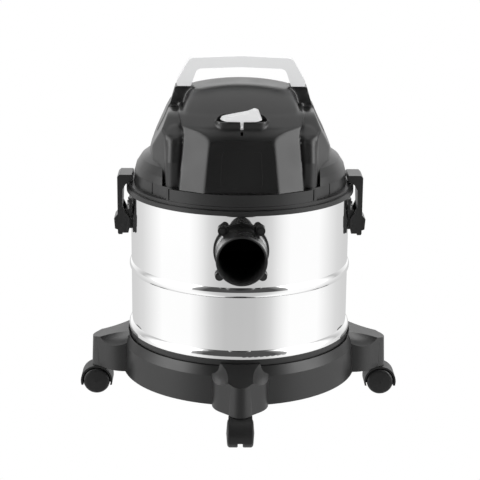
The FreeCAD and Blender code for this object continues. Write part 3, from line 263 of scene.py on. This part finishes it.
def rampOf(m, source, stops):
    made = m.add("ShaderNodeValToRGB")
    ramp = made.color_ramp
    ramp.elements[0].position, ramp.elements[1].position = stops[0][0], stops[-1][0]
    for place, _ in stops[1:-1]:
        ramp.elements.new(place)
    for stop, (_, value) in zip(ramp.elements, stops):
        stop.color = (value, value, value, 1)
    m.link(source, made.inputs["Fac"])
    return made.outputs["Color"]


def blend(m, factor, first, second):
    made = m.add("ShaderNodeMix", data_type="RGBA")
    m.link(factor, made.inputs[0])
    for slot, value in ((6, first), (7, second)):
        if isinstance(value, float):
            made.inputs[slot].default_value = (value, value, value, 1)
        else:
            m.link(value, made.inputs[slot])
    return made.outputs[2]


def makeStudio(s):
    world = bpy.data.worlds.new("studio")
    scene.world = world
    world.use_nodes = True
    m = Nodes.__new__(Nodes)
    m.tree = world.node_tree
    m.place = m.add("ShaderNodeTexCoord").outputs["Generated"]
    x, y, z = m.axes()
    turn = m.math("ARCTAN2", x, m.math("MULTIPLY", y, -1.0))
    turn = m.math("DIVIDE", m.math("ABSOLUTE", turn), math.pi)
    low = rampOf(m, turn, s["low"])
    high = rampOf(m, turn, s["high"])
    overhead = blend(m, m.spread(y, 0.0, 1.0, *s["zenithTurn"]), *s["zenith"])
    upper = blend(m, m.spread(z, 0.0, 1.0, *s["overhead"]), high, overhead)
    mirrored = blend(m, m.spread(z, 0.0, 1.0, *s["horizon"]), low, upper)
    soft = rampOf(m, m.spread(z, 0.0, 1.0, -1.0, 1.0), s["soft"])
    facing = m.math("ADD", 1.0, m.math("MULTIPLY", y, -s["frontal"]))
    soft = m.dim(soft, facing)
    path = m.add("ShaderNodeLightPath").outputs
    seen = blend(m, path["Is Glossy Ray"], soft, mirrored)
    seen = blend(m, path["Is Camera Ray"], seen, s["backdrop"])
    m.link(seen, m.tree.nodes["Background"].inputs["Color"])
    world.cycles.sampling_method = "NONE"


makeStudio(studio)
print("studio made")


# motor cover: one skin found by shooting rays out from its middle, so every edge is softly rounded
# run values are points (distance across or forward, height), from the bottom up
cover = {
    "base": 0.3134,
    "middle": 0.352,              # height the upper rays start from
    "columns": 460,               # rays round the cover
    "lowRows": 46,
    "highRows": 130,
    "soft": 0.0016,               # rounding of plain edges
    "frontFoot": 0.139,
    "frontBreak": (0.1245, 0.378),
    "slopeFoot": (0.113, 0.3905),
    "slopeTop": (0.060, 0.4245),
    "crownRadius": 0.262,
    "crownTop": 0.4315,
    "lowSides": [(0.1193, 0.30), (0.1193, 0.346), (0.1075, 0.3715), (0.0945, 0.3955)],
    "highSides": [(0.0995, 0.375), (0.0905, 0.413), (0.0866, 0.426), (0.0820, 0.44)],
    "loafHalf": 0.0655,           # half width of the raised middle between the handle's feet
    "loafFoot": 0.390,
    "blockHeights": (0.3134, 0.378, 0.387, 0.4047, 0.43),
    "blockHalves": (0.0785, 0.0727, 0.0738, 0.0812, 0.086),
    "blockTop": 0.4045,
    "facet": (0.493, 0.870, 0.243, 0.1432),      # weights across, forward and up, then its reach
    "wingPlan": [(0.0945, -0.0975), (0.1145, -0.050), (0.1200, 0.0)],   # points (across, back)
    "wingSlope": ((0.1, 0.3735), (0.062, 0.3985)),
    "wingReach": 0.0955,
    "shoulder": 0.4005,
    "pillar": (0.084, 0.096, 0.012),             # across, forward, radius
    "pillarLean": (0.345, 0.16),
    "pillarTop": 0.3985,
    "towerInner": 0.0625,
    "towerHalfDepth": 0.0155,
    "towerTop": 0.4258,
    "postFoot": 0.37,
    "collar": (0.0205, 0.0129, 0.101, 0.3985),   # half run, radius, distance forward, rim height
    "pocket": (0.0205, 0.0112, 0.380),           # half run, radius, floor height
    "stemSlot": (0.0021, 0.125, 0.3875),         # half width, distance forward, floor height
    "drain": (0.0016, 0.3825, 0.3865, -0.112),   # square hole below the switch: half width, heights, back
    "grille": (0.036, 0.326, 0.362, 0.1279),     # recess at the rear: half width, heights, floor
    "sharp": 38,
}


def smoothMax(a, b, k):
    h = np.clip(0.5 + 0.5 * (a - b) / k, 0, 1)
    return b + (a - b) * h + k * h * (1 - h)


def smoothMin(a, b, k):
    return -smoothMax(-a, -b, k)


def behindLine(u, v, first, last):
    # distance past the line through two points, outward on its left
    du, dv = last[0] - first[0], last[1] - first[1]
    size = math.hypot(du, dv)
    return ((u - first[0]) * dv - (v - first[1]) * du) / size


def insideRun(u, v, points, k):
    field = None
    for first, last in zip(points[:-1], points[1:]):
        side = behindLine(u, v, first, last)
        field = side if field is None else smoothMax(field, side, k)
    return field


def coverField(x, y, z, c):
    k = c["soft"]
    ax, ay = np.abs(x), np.abs(y)
    f = np.where(y < 0, -y, y * 0.985)
    # rising profile from the front, and the crown across it
    face = insideRun(f, z, [(c["frontFoot"], c["base"]), c["frontBreak"], c["slopeFoot"]], 0.003)
    drop = ax * ax / (2 * c["crownRadius"])
    slope = behindLine(f, z + drop * 0.75, c["slopeFoot"], c["slopeTop"])
    crown = z + drop - c["crownTop"] + np.clip(f - 0.02, 0, 1) ** 2 * 3.2
    top = smoothMax(slope, crown, 0.014)
    profile = smoothMax(face, top, 0.004)
    # sides of the whole cover, seen from the front
    lowSides = insideRun(ax, z, c["lowSides"], 0.003)
    highSides = insideRun(ax, z, c["highSides"], 0.003)
    sides = smoothMin(lowSides, highSides, 0.004)
    # raised middle
    loafSide = ax - c["loafHalf"] - np.clip(c["crownTop"] - z, 0, 0.04) * 0.3
    loaf = smoothMax(smoothMax(profile, loafSide, 0.009), c["loafFoot"] - z, k)
    # front block: narrowing up to the break, then spreading again to the shoulders
    blockSide = ax - np.interp(z, c["blockHeights"], c["blockHalves"])
    across, forward, up, reach = c["facet"]
    facet = ax * across + f * forward - reach + (z - c["base"]) * up
    block = smoothMax(smoothMax(profile, blockSide, 0.002), facet, k)
    block = smoothMax(block, z - c["blockTop"], 0.005)
    # wings behind the block, under the shoulders
    wingPlan = insideRun(ax, -f, c["wingPlan"], 0.0015)
    wingSlope = behindLine(f, z, *c["wingSlope"])
    wingTop = smoothMax(wingSlope, z - c["shoulder"], 0.006)
    wing = smoothMax(smoothMax(sides, wingPlan, k), f - c["wingReach"], k)
    wing = smoothMax(wing, wingTop, 0.003)
    px, py, pr = c["pillar"]
    start, rate = c["pillarLean"]
    lean = np.clip(z - start, 0, 1) * rate
    pillar = np.hypot(ax - px + lean * 0.2, f - py + lean) - pr
    pillarTop = smoothMax(wingSlope - 0.0005, z - c["pillarTop"], 0.004)
    pillar = smoothMax(pillar, pillarTop, 0.006)
    body = smoothMin(smoothMin(loaf, block, 0.0012), smoothMin(wing, pillar, 0.0022), 0.0022)
    # posts under the handle's feet
    post = smoothMax(c["towerInner"] - ax, ay - c["towerHalfDepth"], k)
    post = smoothMax(smoothMax(post, sides, k), z - c["towerTop"], 0.0008)
    post = np.maximum(post, c["postFoot"] - z)
    body = smoothMin(body, post, 0.005)
    # collar round the switch
    run, radius, forward, rim = c["collar"]
    across = np.hypot(np.clip(ax - run, 0, 1), y + forward) - radius
    collar = smoothMax(across, z - rim, 0.001)
    return smoothMin(body, np.maximum(collar, c["postFoot"] - z), 0.0012)


def shoot(origin, direction, c, far=0.2, steps=150):
    # furthest place on each ray where the field turns from solid to air
    best = np.zeros(len(origin))
    found = np.zeros(len(origin), bool)
    for i in range(steps, -1, -1):
        t = far * i / steps
        p = origin + direction * t
        value = coverField(p[:, 0], p[:, 1], p[:, 2], c)
        hit = ~found & (value < 0)
        best[hit] = t
        found |= hit
    low, high = best.copy(), best + far / steps
    for _ in range(14):
        mid = (low + high) / 2
        p = origin + direction * mid[:, None]
        value = coverField(p[:, 0], p[:, 1], p[:, 2], c)
        solid = value < 0
        low = np.where(solid, mid, low)
        high = np.where(solid, high, mid)
    return origin + direction * ((low + high) / 2)[:, None]


def raysFor(c):
    count = c["columns"]
    angles = np.arange(count) / count * math.tau
    origins, directions = [], []

    def addRow(height, lift):
        flat, rise = math.cos(lift), math.sin(lift)
        origins.append(np.column_stack([np.zeros(count), np.zeros(count), np.full(count, height)]))
        sweep = [np.cos(angles) * flat, np.sin(angles) * flat, np.full(count, rise)]
        directions.append(np.column_stack(sweep))

    for row in range(c["lowRows"]):
        addRow(c["base"] + (c["middle"] - c["base"]) * row / c["lowRows"], 0.0)
    for row in range(c["highRows"]):
        addRow(c["middle"], math.pi / 2 * row / c["highRows"])
    return np.concatenate(origins), np.concatenate(directions)


def meshObject(name, bm, node, body, material):
    mesh = bpy.data.meshes.new(name)
    bm.to_mesh(mesh)
    bm.free()
    mesh.materials.append(material)
    made = bpy.data.objects.new(name, mesh)
    scene.collection.objects.link(made)
    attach(made, body)
    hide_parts(node)
    return made


def skin(c):
    points = shoot(*raysFor(c), c)
    n, rows = c["columns"], c["lowRows"] + c["highRows"]
    bm = bmesh.new()
    verts = [bm.verts.new(p) for p in points]
    crown = bm.verts.new((0, 0, c["crownTop"]))
    for row in range(rows - 1):
        for i in range(n):
            a, b = row * n + i, row * n + (i + 1) % n
            bm.faces.new((verts[a], verts[b], verts[b + n], verts[a + n]))
    last = (rows - 1) * n
    for i in range(n):
        bm.faces.new((verts[last + i], verts[last + (i + 1) % n], crown))
    bm.faces.new(list(reversed(verts[:n])))
    return bm


def prism(outline, low, high, axis):
    bm = bmesh.new()
    ends = []
    for depth in (low, high):
        points = [(a, depth, b) if axis == "y" else (a, b, depth) for a, b in outline]
        ends.append([bm.verts.new(point) for point in points])
    bm.faces.new(ends[0])
    bm.faces.new(list(reversed(ends[1])))
    for i in range(len(outline)):
        j = (i + 1) % len(outline)
        bm.faces.new((ends[0][j], ends[0][i], ends[1][i], ends[1][j]))
    bmesh.ops.recalc_face_normals(bm, faces=bm.faces)
    return bm


def rounded(corners, steps=8):
    # closed outline with each corner (x, y, radius) turned into an arc
    path = []
    for i, (x, y, radius) in enumerate(corners):
        before = Vector(corners[i - 1][:2]) - Vector((x, y))
        after = Vector(corners[(i + 1) % len(corners)][:2]) - Vector((x, y))
        if radius == 0:
            path.append((x, y))
            continue
        half = before.angle(after) / 2
        back = radius / math.tan(half)
        start = Vector((x, y)) + before.normalized() * back
        end = Vector((x, y)) + after.normalized() * back
        middle = (before.normalized() + after.normalized()).normalized()
        centre = Vector((x, y)) + middle * (radius / math.sin(half))
        first, second = start - centre, end - centre
        sweep = math.pi - 2 * half
        turn = 1 if first.x * second.y - first.y * second.x > 0 else -1
        for k in range(steps + 1):
            spun = Matrix.Rotation(turn * sweep * k / steps, 2) @ first
            path.append(tuple(centre + spun))
    return path


def cutAway(target, bm):
    mesh = bpy.data.meshes.new("cutter")
    bm.to_mesh(mesh)
    bm.free()
    cutter = bpy.data.objects.new("cutter", mesh)
    scene.collection.objects.link(cutter)
    cutting = target.modifiers.new("cut", "BOOLEAN")
    cutting.operation = "DIFFERENCE"
    cutting.solver = "EXACT"
    cutting.object = cutter
    depsgraph = bpy.context.evaluated_depsgraph_get()
    result = bpy.data.meshes.new_from_object(target.evaluated_get(depsgraph))
    target.modifiers.clear()
    old = target.data
    target.data = result
    bpy.data.meshes.remove(old)
    bpy.data.objects.remove(cutter)


def leaning(bm, c):
    # slides a panel's points along Y so that they follow the cover's front face
    rise = c["frontBreak"][1] - c["base"]
    run = c["frontFoot"] - c["frontBreak"][0]
    for v in bm.verts:
        v.co.y += run * (v.co.z - c["base"]) / rise
    return bm


panel = {
    "outline": [
        (-0.0445, 0.3139, 0), (0.0445, 0.3139, 0), (0.0388, 0.3772, 0.0105), (-0.0388, 0.3772, 0.0105),
    ],
    "middle": 0.345,
    "thick": 0.0012,
    "gap": 0.0004,
    "sunk": 0.0004,           # depth of the framed field
    "frame": [(-0.026, 0.321, 0.004), (0.026, 0.321, 0.004), (0.024, 0.364, 0.004), (-0.024, 0.364, 0.004)],
    "proud": 0.004,           # how far the cutters stand out of the face
    "inset": 0.0001,          # how far the plate stays below the face
    "edge": 0.0004,
}


def panelPrism(outline, c, grow, deep, proud):
    corners = []
    for x, z, radius in outline:
        corners.append((x + math.copysign(grow, x), z + math.copysign(grow, z - panel["middle"]), radius))
    return leaning(prism(rounded(corners), -c["frontFoot"] - proud, -c["frontFoot"] + deep, "y"), c)


def oblong(half, low, high):
    return [(-half, low), (half, low), (half, high), (-half, high)]


def stadium(run, radius, forward, steps=16):
    path = []
    for side, start in ((1, -90), (-1, 90)):
        for k in range(steps + 1):
            a = math.radians(start + 180 * k / steps)
            path.append((side * run + radius * math.cos(a), -forward + radius * math.sin(a)))
    return path


def finishSmooth(made, angle):
    for face in made.data.polygons:
        face.use_smooth = True
    made.data.set_sharp_from_angle(angle=math.radians(angle))


def makeCover(c):
    made = meshObject("motor_cover_skin", skin(c), "motor_cover", "base", looks["black_plastic"])
    above = 0.45
    run, radius, floor = c["pocket"]
    forward = c["collar"][2]
    cutAway(made, prism(stadium(run, radius, forward), floor, above, "z"))
    half, reach, floor = c["stemSlot"]
    cutAway(made, prism(oblong(half, -reach, -forward), floor, above, "z"))
    cutAway(made, panelPrism(panel["outline"], c, panel["gap"], panel["thick"], panel["proud"]))
    half, low, high, back = c["drain"]
    cutAway(made, prism(oblong(half, low, high), -0.14, back, "y"))
    half, low, high, floor = c["grille"]
    cutAway(made, prism(oblong(half, low, high), floor, 0.15, "y"))
    finishSmooth(made, c["sharp"])
    print("cover made:", len(made.data.polygons), "faces")


def makePanel(p, c):
    bm = panelPrism(p["outline"], c, 0, p["thick"], -p["inset"])
    made = meshObject("front_panel_plate", bm, "front_panel", "base", looks["panel_plastic"])
    cutAway(made, panelPrism(p["frame"], c, 0, p["sunk"], p["proud"]))
    edge = made.modifiers.new("edge", "BEVEL")
    edge.width = p["edge"]
    edge.segments = 2
    print("panel made")


handle = {
    "outer": [(0.0832, 0.4262, 0.002), (0.0835, 0.4325, 0.003), (0.0660, 0.4626, 0.009), (0.0, 0.4654, 0.12)],
    "inner": [(0.0652, 0.4262, 0.0), (0.0628, 0.4330, 0.002), (0.0572, 0.4490, 0.0085), (0.0, 0.4512, 0.12)],
    "halfDepth": 0.0138,
    "edge": 0.0042,
    "sharp": 40,
}


def makeHandle(h):
    outer = h["outer"]
    left = [(-x, z, r) for x, z, r in reversed(h["outer"][:-1])]
    under = [(-x, z, r) for x, z, r in h["inner"]]
    back = [(x, z, r) for x, z, r in reversed(h["inner"][:-1])]
    bm = prism(rounded(outer + left + under + back, 10), -h["halfDepth"], h["halfDepth"], "y")
    made = meshObject("handle_bar", bm, "handle", "base", looks["pale_plastic"])
    edge = made.modifiers.new("edge", "BEVEL")
    edge.width = h["edge"]
    edge.segments = 5
    edge.limit_method = "ANGLE"
    edge.angle_limit = math.radians(60)
    finishSmooth(made, h["sharp"])
    print("handle made")


makeCover(cover)
makePanel(panel, cover)
makeHandle(handle)
